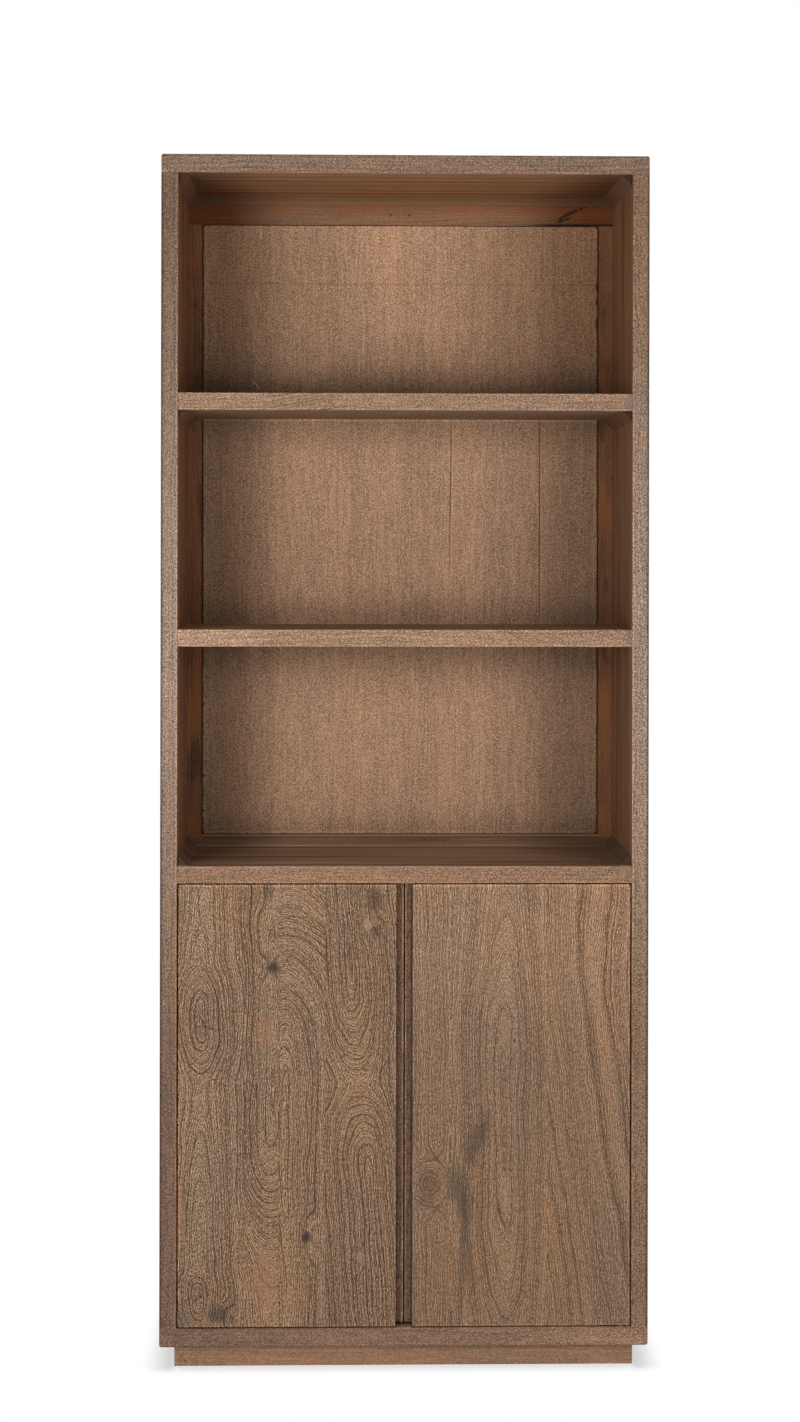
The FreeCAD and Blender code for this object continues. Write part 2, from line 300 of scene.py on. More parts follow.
def door_grain(wood, grain, sway, lines, flecks, bands):
    """Colours a door: drifting stain, growth bands and lines, and dark and limed fibres along the grain."""
    field, slope, angle = grain
    drift = wood.noise(wood.point((wood.x - sway) * 14.0, wood.y, wood.z * 2.6), 1.0, 3.0, 0.6)
    colour = wood.blend(wood.smooth(drift, 0.36, 0.64), door_tones["cool"], door_tones["warm"])
    band = wood.noise_along(field, 80.0, 2.0)
    colour = wood.blend(wood.smooth(band, 0.42, 0.66) * bands, colour, door_tones["dark"])
    speck = wood.noise(wood.point(wood.x * 640.0, wood.y, wood.z * 280.0), 1.0, 3.0, 0.75)
    fibre = wood.fibres(angle, 120.0, 2.2) * 0.3 + speck * 0.7
    pore = wood.smooth(fibre, 0.5, 0.6)
    limed = 1 - wood.smooth(fibre, 0.4, 0.5)
    colour = wood.blend(pore * flecks, colour, door_tones["pore"])
    colour = wood.blend(limed * flecks, colour, door_tones["limed"])
    patchy = wood.noise(wood.point(wood.x * 25.0, wood.y, wood.z * 7.0), 1.0, 2.0)
    patchy = wood.smooth(patchy, 0.28, 0.55)
    frayed = field + (fibre - 0.5) * 0.003
    line = ring_lines(wood, frayed, slope, 0.0055) * (patchy * 0.6 + 0.4)
    faint = ring_lines(wood, frayed + 0.171, slope, 0.0024)
    colour = wood.blend(faint * lines * 0.5, colour, door_tones["line"])
    colour = wood.blend(line * lines, colour, door_tones["line"])
    height = limed * 0.35 - pore * 0.5 - line * 0.6
    roughness = 0.58 + pore * 0.14
    return colour, roughness, height


def slit(finish, x, z, half_length, half_width, lean=0.0, ragged=0.0):
    """A thin upright crack on the front, pointed at its ends; lean is how far it tilts for its height."""
    along = (finish.z - z) / half_length
    across = abs(finish.x - x - (finish.z - z) * lean) / half_width
    return 1 - finish.smooth(across + along * along + ragged, 0.4, 1.0)


def plain_and_highlit_edges(wood, colour):
    """A door with painted highlights along its front edges, and plainer grain on its edge beside the other
    door.
    """
    wide = abs(wood.x)
    highlight_width = 0.0026
    edge = 1 - wood.smooth(wide, door_inner - 0.0009, door_inner - 0.0003)
    edge = edge * wood.smooth(wood.y, -0.189, -0.187)
    colour = wood.blend(edge * 0.75, colour, stain(132, 104, 80))
    # painted highlight: pale lines along the outer, inner and lower front edges
    edge_highlight = wood.rim(wide, door_outer, highlight_width) + wood.rim(wide, door_inner, highlight_width)
    edge_highlight = edge_highlight + wood.rim(wood.z, door_foot, highlight_width)
    colour = wood.shade(colour, edge_highlight * 0.8, even(1.35))
    # painted highlight: a brighter line along the head of the door
    return wood.shade(colour, wood.rim(wood.z, door_head, 0.003), even(1.6))


def finish_left_door():
    """Four staves of flat-sawn wood with ovals, arches, knots and short cracks."""
    wood = Finish("left_door_wood")
    sway = wander(wood, 0.0)
    ovals = stave(wood, pith=sway - 0.331, lean=0.1, scale=0.06, levels=(
        (0.067, 0.36), (0.118, 0.0), (0.155, 0.32), (0.2, 0.38), (0.3, 0.44), (0.44, 0.6), (0.49, 0.5),
        (0.568, 0.0), (0.65, 0.5), (0.70, 0.63), (0.787, 0.7)))
    hollows = stave(wood, pith=sway - 0.216, lean=0.0, scale=0.08, levels=(
        (0.067, 1.0), (0.14, 0.95), (0.2, 0.85), (0.28, 0.5), (0.38, 0.12), (0.5, 0.05), (0.787, 0.2)))
    arches = stave(wood, pith=sway - 0.196, lean=-0.2, scale=0.11, levels=(
        (0.067, 0.15), (0.3, 0.05), (0.5, 0.08), (0.6, 0.3), (0.7, 0.68), (0.787, 1.0)))
    loops = stave(wood, pith=sway - 0.03 - wood.z * 0.09, lean=0.15, scale=0.065, levels=(
        (0.067, 0.0), (0.25, 0.0), (0.33, 0.04), (0.369, 0.23), (0.415, 0.5), (0.455, 0.76), (0.4915, 0.7),
        (0.525, 0.52), (0.553, 0.38), (0.6, 0.12), (0.66, 0.0), (0.787, 0.0)))
    grain = join_staves(wood, ovals, (-0.2604, hollows), (-0.2048, arches), (-0.1296, loops))
    for x, z, half_width, half_height, lift in ((-0.2164, 0.656, 0.032, 0.05, 0.014),
                                                (-0.2232, 0.780, 0.032, 0.06, 0.007),
                                                (-0.0560, 0.755, 0.034, 0.07, 0.014),
                                                (-0.1615, 0.214, 0.036, 0.06, 0.014),
                                                (-0.3035, 0.0886, 0.032, 0.04, 0.012)):
        grain[0] = grain[0] + wood.spot(x, z, half_width, half_height) * lift
    colour, roughness, height = door_grain(wood, grain, sway, lines=0.85, flecks=1.0, bands=0.45)
    for x, z, half_width, half_height, depth in ((-0.2150, 0.655, 0.015, 0.016, 0.9),
                                                 (-0.2232, 0.780, 0.014, 0.022, 0.5),
                                                 (-0.1600, 0.2145, 0.013, 0.013, 0.95),
                                                 (-0.3035, 0.0886, 0.03, 0.02, 0.6),
                                                 (-0.0480, 0.766, 0.020, 0.028, 0.5),
                                                 (-0.0474, 0.714, 0.014, 0.013, 0.5),
                                                 (-0.3329, 0.1185, 0.004, 0.005, 0.9)):
        knot = wood.spot(x, z, half_width, half_height, 0.6)
        colour = wood.blend(knot * depth, colour, stain(56, 48, 44))
    for x, z, half_length, half_width, lean in ((-0.3310, 0.5700, 0.018, 0.0016, -0.45),
                                                (-0.3200, 0.5570, 0.006, 0.0016, -2.0),
                                                (-0.2421, 0.4531, 0.020, 0.0018, 0.0),
                                                (-0.3365, 0.7600, 0.035, 0.0011, -0.06),
                                                (-0.0925, 0.6820, 0.012, 0.0014, 0.3),
                                                (-0.0570, 0.2200, 0.014, 0.0014, 0.0)):
        crack = slit(wood, x, z, half_length, half_width, lean)
        colour = wood.blend(crack * 0.85, colour, stain(44, 31, 23))
    for x, z, half_width, half_height, tone in ((-0.2320, 0.14, 0.030, 0.080, stain(160, 110, 76)),
                                                (-0.2286, 0.55, 0.022, 0.040, stain(158, 110, 80)),
                                                (-0.3680, 0.25, 0.014, 0.070, stain(164, 112, 76)),
                                                (-0.3600, 0.08, 0.030, 0.024, stain(100, 88, 78)),
                                                (-0.0610, 0.725, 0.012, 0.016, stain(182, 150, 122)),
                                                (-0.0720, 0.18, 0.012, 0.014, stain(166, 132, 106))):
        colour = wood.blend(wood.spot(x, z, half_width, half_height, 0.9) * 0.38, colour, tone)
    return wood.lay(plain_and_highlit_edges(wood, colour), roughness, height, depth=0.0004)


def finish_right_door():
    """Three calmer staves, with a ringed knot and long loops."""
    wood = Finish("right_door_wood")
    sway = wander(wood, 3.0)
    knot_x, knot_z = 0.0414, 0.3018
    knot_half_width, knot_half_height = 0.033, 0.037
    reach = wood.reach(knot_x, knot_z, knot_half_width, knot_half_height)
    ring = reach * knot_half_width
    loops = stave(wood, pith=sway + 0.166, lean=0.1, scale=0.1, levels=(
        (0.067, 0.38), (0.12, 0.28), (0.2, 0.17), (0.3, 0.06), (0.4, 0.0), (0.5, 0.02), (0.6, 0.15),
        (0.7, 0.3), (0.787, 0.4)))
    plain = stave(wood, pith=sway + 0.55 - wood.z * 0.15, lean=0.0, scale=0.1, levels=(
        (0.067, 0.6), (0.3, 0.3), (0.55, 0.2), (0.787, 0.9)))
    beside = wood.smooth(reach, 0.8, 1.8)
    field = ring + (abs(wood.x - 0.05 + sway) + 0.02 - ring) * beside
    around = {0: wood.z - knot_z, 1: wood.x - knot_x}
    turn = wood.node("ShaderNodeMath", {"operation": "ARCTAN2"}, around)[0]
    knotted = (field, wood.z * 0.0 + 1.0, turn * (1 - beside))
    grain = join_staves(wood, knotted, (0.0752, loops), (0.2343, plain))
    colour, roughness, height = door_grain(wood, grain, sway, lines=0.6, flecks=0.78, bands=0.65)
    for x, z, half_width, half_height, depth in ((knot_x, knot_z, 0.026, 0.028, 0.3),
                                                 (0.0360, 0.2740, 0.020, 0.014, 0.35),
                                                 (0.1803, 0.5358, 0.0026, 0.003, 0.95)):
        knot = wood.spot(x, z, half_width, half_height, 0.6)
        colour = wood.blend(knot * depth, colour, stain(62, 54, 49))
    ragged = (wood.noise(wood.point(wood.x * 260.0, 0.0, wood.z * 40.0), 1.0, 3.0) - 0.5) * 2.0 - 0.2
    for x, z, half_length, half_width, lean, depth in ((0.1190, 0.3740, 0.060, 0.020, 0.42, 0.3),
                                                       (0.1190, 0.3700, 0.040, 0.010, 0.42, 0.35),
                                                       (0.0930, 0.2900, 0.060, 0.024, -0.25, 0.3),
                                                       (0.0910, 0.2850, 0.045, 0.012, -0.25, 0.35),
                                                       (0.0950, 0.1700, 0.110, 0.007, 0.03, 0.45),
                                                       (0.1060, 0.2000, 0.090, 0.005, -0.10, 0.4)):
        cloud = slit(wood, x, z, half_length, half_width, lean, ragged)
        colour = wood.blend(cloud * depth, colour, stain(72, 60, 52))
    colour = wood.shade(colour, wood.smooth(wood.z, 0.45, 0.72), tint(1.2, 1.2, 1.22))
    rosy = wood.smooth(wood.x, 0.29, 0.36) * wood.smooth(wood.z, 0.4, 0.7) * 0.5
    colour = wood.shade(colour, rosy, tint(1.25, 1.05, 1.02))
    return wood.lay(plain_and_highlit_edges(wood, colour), roughness, height, depth=0.0004)


# Finishes of the carcass and its fittings

def tones_of(red, green, blue):
    """The set of stains of a board whose mean stain is given."""
    def toned(share, warmth=0.0):
        return stain(red * share + warmth, green * share, blue * share - warmth)
    return {"warm": toned(1.06, 3), "cool": toned(0.96, -2), "dark": toned(0.78),
            "line": toned(0.5), "pore": toned(0.62), "limed": toned(1.4, -4)}


def finish_board(name, seed, tones, marks, upright=False, lines=0.35, flecks=0.88):
    """A carcass board with its grain along its length, and the marks that are its own, with the painted
    light and shade that some of them lay on.
    """
    wood = Finish(name)
    along, across = (wood.z, wood.x) if upright else (wood.x, wood.z)
    bend = wood.noise(wood.point(along * 2.5 + seed, across * 8.0, wood.y * 8.0), 1.0, 2.0) - 0.5
    field = across + wood.y * 0.6 + bend * 0.05 + seed
    fibres = wood.point(across, along, wood.y)
    colour, roughness, height = board_grain(wood, field, fibres, tones, 0.006, lines, flecks)
    return wood.lay(marks(wood, colour), roughness, height, depth=0.0003)


def front_face(wood):
    """1 on the front of a board, 0 on what lies behind its eased edges."""
    return 1 - wood.smooth(wood.y, *front_rounding)


def shelf_face(wood):
    """1 on the face of the back that looks into the shelves, 0 behind it."""
    return 1 - wood.smooth(wood.y, *back_front)


def side_marks_and_shading(lit_middle_tint):
    """Marks of a side: painted light making it paler at mid height, painted shade on its outer rounding, a
    painted highlight on its inner front edge, red within.
    """
    def marks(wood, colour):
        wide = abs(wood.x)
        front = front_face(wood)
        # painted light: paler and greyer at mid height, where the lamps fall strongest
        middle_height, fading = 1.2, 0.75
        middle = 1 - wood.smooth(abs(wood.z - middle_height), 0.0, fading)
        colour = wood.shade(colour, middle, lit_middle_tint)
        # painted shade on the outer rounding, which turns away from the lamps
        rounding = wood.smooth(wide, side_outer - 0.006, side_outer)
        colour = wood.shade(colour, rounding * front, tint(0.4, 0.4, 0.42))
        # painted highlight along the inner front edge
        colour = wood.shade(colour, wood.rim(wide, side_inner, 0.002) * front, even(1.3))
        streak = wood.noise(wood.point(wood.y * 34.0, 0.0, wood.z * 1.4), 1.0, 4.0, 0.6)
        red = wood.blend(wood.smooth(streak, 0.34, 0.66), stain(100, 64, 40), stain(146, 102, 70))
        inside = 1 - wood.smooth(wide, side_inner - 0.0014, side_inner - 0.0003)
        return wood.blend(inside * 0.85, colour, red)
    return marks


def highlit_front_edges(wood, colour, edges):
    """A board with painted highlights along its lower and upper front edges."""
    low, high = edges
    # painted highlight on the eased front edges
    edge_highlight = (wood.rim(wood.z, low, 0.002) + wood.rim(wood.z, high, 0.002)) * front_face(wood)
    return wood.shade(colour, edge_highlight, even(1.25))


def filled_end(wood, colour):
    """A shelf with grey filler at its right end."""
    patch = wood.noise(wood.place, 160.0, 2.0) + wood.smooth(wood.x, 0.35, 0.368) * 0.5
    filler = wood.smooth(patch, 0.85, 0.95) * front_face(wood)
    return wood.blend(filler * 0.6, colour, stain(118, 110, 102))


def upper_shelf_marks_and_highlights(wood, colour):
    """Marks of the upper shelf: painted highlights on its front edges, filler, and slanting grain left of
    the middle.
    """
    colour = filled_end(wood, highlit_front_edges(wood, colour, upper_shelf_edges))
    lines = ring_lines(wood, wood.z - wood.x * 0.17, slope=1.0, spacing=0.006)
    slant = lines * wood.rim(wood.x, -0.17, 0.09)
    return wood.blend(slant * front_face(wood) * 0.9, colour, stain(88, 66, 50))


def lower_shelf_marks_and_highlights(wood, colour):
    """Marks of the lower shelf: painted highlights on its front edges, filler, slanting grain on the right,
    a paler left end.
    """
    colour = filled_end(wood, highlit_front_edges(wood, colour, lower_shelf_edges))
    lines = ring_lines(wood, wood.z + wood.x * 0.45, slope=1.0, spacing=0.006)
    slant = lines * wood.smooth(wood.x, 0.12, 0.2)
    colour = wood.blend(slant * front_face(wood) * 0.5, colour, stain(92, 70, 54))
    left_end = 1 - wood.smooth(wood.x, -0.27, -0.2)
    return wood.shade(colour, left_end, even(1.25))


def strip_painted_shading(wood, colour):
    """Painted light on the pull strips: highlights on their meeting edges, painted shadow along the doors
    and at their feet, and the right strip a little darker.
    """
    wide = abs(wood.x)
    meeting_edge_highlight = wood.rim(wide, 0.0018, 0.0026)
    door_edge_shadow = wood.smooth(wide, 0.0085, 0.0132)
    right_strip = wood.smooth(wood.x, 0.0, 0.002)
    foot_shadow = 1 - wood.smooth(wood.z, door_foot + 0.0010, door_foot + 0.0024)
    # painted highlight on the meeting edges, painted shadow along the doors
    colour = wood.shade(colour, meeting_edge_highlight, tint(1.7, 1.65, 1.6))
    colour = wood.shade(colour, door_edge_shadow, tint(0.4, 0.38, 0.37))
    colour = wood.shade(colour, right_strip, tint(0.86, 0.88, 0.91))
    # painted shadow in the gap at the feet of the strips
    return wood.shade(colour, foot_shadow, even(0.12))


def bottom_marks_and_highlight(wood, colour):
    """Marks of the bottom: darker to the left and paler to the right, and painted light on its upper face
    between the doors.
    """
    half = 0.4
    # painted light: the upper face between the doors made paler
    between = (1 - wood.smooth(abs(wood.x), 0.012, 0.0135)) * (1 - wood.smooth(wood.y, -0.172, -0.168))
    upper_face = wood.smooth(wood.z, bottom_upper - 0.0005, bottom_upper + 0.0005)
    colour = wood.shade(colour, between * upper_face, even(1.9))
    colour = wood.shade(colour, 1 - wood.smooth(wood.x, -half, 0.0), tint(0.8, 0.8, 0.82))
    return wood.shade(colour, wood.smooth(wood.x, 0.0, half), tint(1.25, 1.24, 1.22))


def plinth_marks(wood, colour):
    """Marks of the plinth: two nail holes at its left end."""
    for x, z in ((-0.3639, 0.0156), (-0.3582, 0.0077)):
        hole = wood.spot(x, z, half_width=0.0022, half_height=0.0026)
        colour = wood.blend(hole * 0.8, colour, stain(58, 40, 30))
    return colour


def rail_marks_and_shade(wood, colour):
    """Marks of the back rails: red along the top, painted shade at the ends and along the foot of the
    middle rail, with cracks and filled nail holes.
    """
    bare = colour
    blotch = wood.noise(wood.point(wood.x * 16.0, 0.0, wood.z * 40.0), 1.0, 3.0) - 0.5
    redness = wood.smooth(wood.z + blotch * 0.06, 1.920, 1.950)
    colour = wood.blend(redness * 0.65, colour, stain(148, 84, 48))
    low = 1 - wood.smooth(wood.z, 0.9, 1.0)
    colour = wood.blend(low, colour, stain(134, 104, 80))
    # painted shade along the foot of the middle rail, above the deck
    foot_shadow = wood.smooth(wood.z, 0.80, 0.82) * (1 - wood.smooth(wood.z, 0.8345, 0.8365))
    colour = wood.shade(colour, foot_shadow, even(0.25))
    # painted shade at the ends of the rails, beside the sides
    ends = wood.smooth(abs(wood.x), 0.2, 0.33)
    colour = wood.shade(colour, ends * (1 - low), tint(0.62, 0.4, 0.17))
    ragged = (wood.noise(wood.place, 160.0, 3.0) - 0.5) * 2.5
    for x, z, half_length, half_width, lean in ((0.2987, 1.930, 0.015, 0.011, 1.98),
                                                (0.2860, 1.918, 0.008, 0.012, 2.6)):
        crack = slit(wood, x, z, half_length, half_width, lean, ragged)
        colour = wood.blend(crack * 0.85, colour, stain(48, 32, 23))
    chipped = wood.rim(wood.z + ragged * 0.001, 1.9075, 0.005) * wood.smooth(wood.x, 0.2, 0.28)
    colour = wood.blend(chipped, colour, stain(40, 28, 20))
    for x, z in ((0.3224, 1.942), (0.0147, 1.9248), (-0.0187, 1.9246), (0.2204, 1.8993)):
        hole = wood.spot(x, z, half_width=0.0028, half_height=0.003)
        colour = wood.blend(hole * 0.9, colour, stain(48, 32, 22))
    return wood.blend(shelf_face(wood), bare, colour)


def stile_marks(wood, colour):
    """Marks of the back stiles: orange patches, and dark streaks along the joint with the panel."""
    patch = wood.noise(wood.point(wood.x * 30.0, 0.0, wood.z * 9.0), 1.0, 3.0)
    colour = wood.blend(wood.smooth(patch, 0.5, 0.62) * 0.6, colour, stain(146, 90, 50))
    colour = wood.shade(colour, 1 - wood.smooth(patch, 0.36, 0.46), tint(0.65, 0.62, 0.6))
    waver = (wood.noise_along(wood.z, 30.0, 2.0) - 0.5) * 0.004
    joint = 1 - wood.smooth(abs(wood.x) + waver, panel_edge, panel_edge + 0.0027)
    return wood.shade(colour, joint, tint(0.4, 0.37, 0.34))


def batten_marks(wood, colour):
    """Marks of the side battens: their front ends darker."""
    return wood.shade(colour, 1 - wood.smooth(wood.y, *batten_ends), even(0.3))


def top_marks_and_shading(wood, colour):
    """Marks of the top: a painted highlight on its lower front edge, and seams and bands across its orange
    underside, with painted shade towards the ends and darker over the back batten.
    """
    # painted highlight on the lower front edge
    colour = wood.shade(colour, wood.rim(wood.z, top_under, 0.002) * front_face(wood), even(1.2))
    band = wood.noise_along(wood.y, 60.0, 3.0)
    orange = wood.blend(wood.smooth(band, 0.35, 0.65), stain(144, 98, 63), stain(183, 134, 95))
    # painted shade on the underside towards the ends, beside the sides
    orange = wood.shade(orange, wood.smooth(abs(wood.x), 0.2, 0.35), tint(0.43, 0.38, 0.29))
    orange = wood.shade(orange, wood.smooth(wood.y, 0.150, 0.1535), tint(0.5, 0.5, 0.48))
    for seam in (-0.098, 0.07):
        orange = wood.shade(orange, wood.rim(wood.y, seam, 0.008), tint(1.7, 1.6, 1.5))
        orange = wood.shade(orange, wood.rim(wood.y, seam + 0.016, 0.012), tint(0.6, 0.58, 0.55))
    underside = 1 - wood.smooth(wood.z, top_under - 0.0012, top_under + 0.0001)
    return wood.blend(underside * 0.85, colour, orange)


def deck_marks_and_shade(wood, colour):
    """Marks of the deck and its battens: painted highlights on the front edges, a grey streaked top, darker
    batten front ends, and painted shade on the battens and towards the ends.
    """
    colour = highlit_front_edges(wood, colour, deck_edges)
    band = wood.noise(wood.point(wood.x * 1.6, wood.y * 45.0, 0.0), 1.0, 4.0, 0.65)
    grey = wood.blend(wood.smooth(band, 0.36, 0.64), stain(132, 102, 79), stain(214, 178, 147))
    end = wood.smooth(wood.z, deck_batten_foot, deck_batten_foot + 0.0006)
    end = end * (1 - wood.smooth(wood.y, *batten_ends))
    batten = wood.smooth(wood.z, deck_batten_foot, deck_batten_foot + 0.0013)
    grey = wood.shade(grey, end, even(0.2))
    # painted shade on the sloping faces of the battens
    grey = wood.shade(grey, batten, tint(0.42, 0.4, 0.38))
    # painted shade towards the ends of the deck top, beside the sides
    grey = wood.shade(grey, wood.smooth(abs(wood.x), 0.16, 0.36), tint(0.6, 0.58, 0.58))
    upper_face = wood.smooth(wood.z, deck_edges[1] - 0.0001, deck_edges[1] + 0.0012)
    return wood.blend(upper_face * 0.85, colour, grey)


def finish_panel():
    """Veneer of the back panels: fine upright grain, with painted shade that makes it greyer and darker
    towards sides and shelves, painted light in the upper compartment, and a painted shadow in the recess
    round each field.
    """
    wood = Finish("back_panel_veneer")
    bend = wood.noise(wood.point(wood.x * 6.0, 0.0, wood.z * 2.0), 1.0, 2.0) - 0.5
    field = wood.x + bend * 0.05
    fibres = wood.point(wood.x, wood.z, wood.y)
    tones = tones_of(163, 128, 101)
    grain = board_grain(wood, field, fibres, tones, spacing=0.01, lines=0.12, flecks=0.74)
    colour, roughness, height = grain
    bare = colour
    wide = abs(wood.x)
    high = wood.smooth(wood.z, 1.6, 1.75)
    # painted shade: darker and greyer towards the sides
    colour = wood.shade(colour, wood.smooth(wide, 0.2, 0.36), tint(0.68, 0.70, 0.68))
    # painted light: brighter in the upper compartment, with painted shade at its sides and warmer towards
    # its right
    colour = wood.shade(colour, high, tint(1.16, 1.15, 1.14))
    colour = wood.shade(colour, high * wood.smooth(wood.x, 0.22, 0.36), tint(0.93, 0.81, 0.69))
    colour = wood.shade(colour, high * (1 - wood.smooth(wood.x, -0.36, -0.22)), tint(1.0, 0.96, 0.88))
    colour = wood.shade(colour, high * wood.rim(wide, 0.2, 0.14), tint(0.77, 0.77, 0.75))
    level_scratch = wood.rim(wood.z, 1.804, 0.0025)
    pale_foot = wood.rim(wood.z, 0.8435, 0.004)
    under_shelf = wood.rim(wood.z, upper_shelf_edges[0] - 0.0035, 0.0025)
    colour = wood.shade(colour, level_scratch * 0.3, even(0.5))
    colour = wood.shade(colour, pale_foot, tint(1.25, 1.22, 1.2))
    colour = wood.shade(colour, under_shelf, tint(1.3, 1.26, 1.22))
    rounding = 0.0015
    up, down = 1, -1
    # painted shade in the corners at the shelves
    for edge, side, reach, depth in ((upper_shelf_edges[1], up, 0.08, 0.95),
                                     (upper_shelf_edges[0], down, 0.06, 0.2),
                                     (lower_shelf_edges[1], up, 0.06, 0.3),
                                     (lower_shelf_edges[0], down, 0.08, 0.5),
                                     (deck_edges[1], up, 0.085, 0.5)):
        away = (wood.z - edge) * side - rounding
        corner_shade = wood.smooth(away, -0.005, 0.005) * (1 - wood.smooth(away, 0.0, reach))
        colour = wood.shade(colour, corner_shade * depth, tint(0.3, 0.3, 0.28))
    waver = (wood.noise_along(wood.z, 30.0, 2.0) - 0.5) * 0.004
    joint = wood.smooth(wide + waver, panel_edge - 0.0030, panel_edge - 0.0003)
    lip = wood.rim(wide + waver, panel_edge - 0.0060, 0.0025)
    colour = wood.shade(colour, joint, tint(0.35, 0.31, 0.28))
    colour = wood.shade(colour, lip * 0.6, tint(1.3, 1.28, 1.25))
    for x, z, half_length, half_width, lean in ((0.0877, 1.4475, 0.2, 0.0014, 0.01),
                                                (0.2440, 1.3915, 0.28, 0.0017, 0.0)):
        crack = slit(wood, x, z, half_length, half_width, lean)
        pale_side = slit(wood, x + 0.003, z, half_length, half_width, lean)
        colour = wood.blend(crack * 0.8, colour, stain(70, 48, 32))
        colour = wood.blend(pale_side * 0.3, colour, stain(196, 164, 134))
    for x, z, lean in ((-0.2457, 1.889, 0.0), (-0.2520, 1.784, -0.5), (-0.2520, 1.706, -0.9),
                       (-0.2500, 1.672, -0.7), (-0.2540, 1.628, -0.9)):
        scratch = slit(wood, x, z, half_length=0.012, half_width=0.0015, lean=lean)
        colour = wood.blend(scratch * 0.9, colour, stain(200, 166, 136))
    chip_line = panel_edge - 0.0010
    for x, z, half_height in ((-chip_line, 1.068, 0.004), (-chip_line, 0.943, 0.004),
                              (-chip_line, 0.881, 0.004), (chip_line, 1.801, 0.014),
                              (chip_line, 1.772, 0.008), (chip_line, 1.735, 0.018)):
        chip = wood.spot(x, z, half_width=0.0055, half_height=half_height, ragged=0.5)
        colour = wood.blend(chip * 0.9, colour, stain(48, 32, 22))
    # painted shadow in the recess between the field and the frame
    recess_shade = 1 - wood.smooth(wood.y, *back_recess)
    behind = wood.shade(bare, recess_shade, even(0.2))
    return wood.lay(wood.blend(shelf_face(wood), behind, colour), roughness, height, depth=0.0002)


def finish_metal(name, colour, roughness):
    """A metal fitting with fine brush marks and a little tarnish."""
    metal = Finish(name)
    marks = metal.noise(metal.point(metal.x * 300.0, metal.y * 300.0, metal.z * 40.0), 1.0, 3.0)
    tarnish = metal.noise(metal.place, 60.0, 3.0)
    shade = [channel * 0.55 for channel in colour[:3]] + [1.0]
    tone = metal.blend(metal.smooth(tarnish, 0.35, 0.75) * 0.6, colour, shade)
    metal.surface.inputs["Metallic"].default_value = 1.0
    return metal.lay(tone, roughness + marks * 0.2, marks, depth=0.00005, specular=0.5)


def finish_plastic(name, colour):
    """Moulded plastic with a fine grain."""
    plastic = Finish(name)
    grain = plastic.noise(plastic.place, 900.0, 2.0)
    shade = [channel * 0.75 for channel in colour[:3]] + [1.0]
    tone = plastic.blend(plastic.smooth(grain, 0.3, 0.7), colour, shade)
    return plastic.lay(tone, 0.45 + grain * 0.15, grain, depth=0.00005, specular=0.4)


# What each piece is finished with

dress(finish_left_door(), "door_left")
dress(finish_right_door(), "door_right")
dress(finish_board("pull_strip_wood", seed=0.2, tones=tones_of(124, 97, 76), marks=strip_painted_shading,
                   upright=True),
      "pull_strip_left", "pull_strip_right")
dress(finish_board("top_board_wood", seed=1.7, tones=tones_of(136, 109, 89), marks=top_marks_and_shading),
      "top_board", "top_batten_back")
dress(finish_board("bottom_board_wood", seed=2.9, tones=tones_of(135, 105, 83), marks=bottom_marks_and_highlight),
      "bottom_board")
# the tint is the painted light at mid height of the left side
left_marks_and_shading = side_marks_and_shading(tint(1.88, 2.12, 2.4))
dress(finish_board("left_side_wood", seed=4.3, tones=tones_of(118, 92, 73), marks=left_marks_and_shading,
                   upright=True, flecks=0.85),
      "side_panel_left")
# the tint is the painted light at mid height of the right side
right_marks_and_shading = side_marks_and_shading(tint(1.56, 1.76, 2.04))
dress(finish_board("right_side_wood", seed=5.1, tones=tones_of(128, 101, 78), marks=right_marks_and_shading,
                   upright=True, flecks=1.0),
      "side_panel_right")
dress(finish_board("upper_shelf_wood", seed=6.6, tones=tones_of(149, 119, 95), marks=upper_shelf_marks_and_highlights),
      "shelf_upper")
dress(finish_board("lower_shelf_wood", seed=7.2, tones=tones_of(156, 124, 98), marks=lower_shelf_marks_and_highlights),
      "shelf_lower")
dress(finish_board("deck_wood", seed=8.8, tones=tones_of(146, 112, 87), marks=deck_marks_and_shade),
      "deck_board", "deck_batten_left", "deck_batten_right", "deck_batten_back", "cabinet_shelf")
dress(finish_board("plinth_wood", seed=9.4, tones=tones_of(148, 113, 89), marks=plinth_marks,
                   lines=0.2, flecks=0.4),
      "plinth_front", "plinth_back", "plinth_left", "plinth_right", "plinth_blocks")
dress(finish_board("rail_wood", seed=10.3, tones=tones_of(134, 99, 75), marks=rail_marks_and_shade,
                   lines=0.3, flecks=0.35),
      "back_rail_top", "back_rail_middle", "back_rail_bottom")
dress(finish_board("stile_wood", seed=11.9, tones=tones_of(126, 86, 57), marks=stile_marks,
                   upright=True, flecks=0.35),
      "back_stile_left", "back_stile_right")
dress(finish_board("batten_wood", seed=12.5, tones=tones_of(118, 85, 64), marks=batten_marks,
                   lines=0.15, flecks=0.2),
      "top_batten_left", "top_batten_right", "upper_batten_left", "upper_batten_right")
dress(finish_panel(), "back_panel_upper", "back_panel_lower")
dress(finish_metal("pivot_steel", stain(74, 68, 63), 0.45),
      *[name for name in nodes if name.startswith(("pivot_plate", "pivot_pins"))])
dress(finish_metal("catch_steel", stain(150, 148, 145), 0.3),
      *[name for name in nodes if name.startswith(("strike_", "catch_screws"))])
dress(finish_metal("bush_brass", stain(190, 150, 80), 0.3), "pivot_bushes_left", "pivot_bushes_right")
dress(finish_metal("magnet_steel", stain(120, 120, 122), 0.4), "catch_magnet_left", "catch_magnet_right")
dress(finish_plastic("washer_nylon", stain(58, 44, 34)), "pivot_washers")
dress(finish_plastic("catch_plastic", stain(70, 52, 42)), "catch_housing_left", "catch_housing_right")


# Floor, light and camera

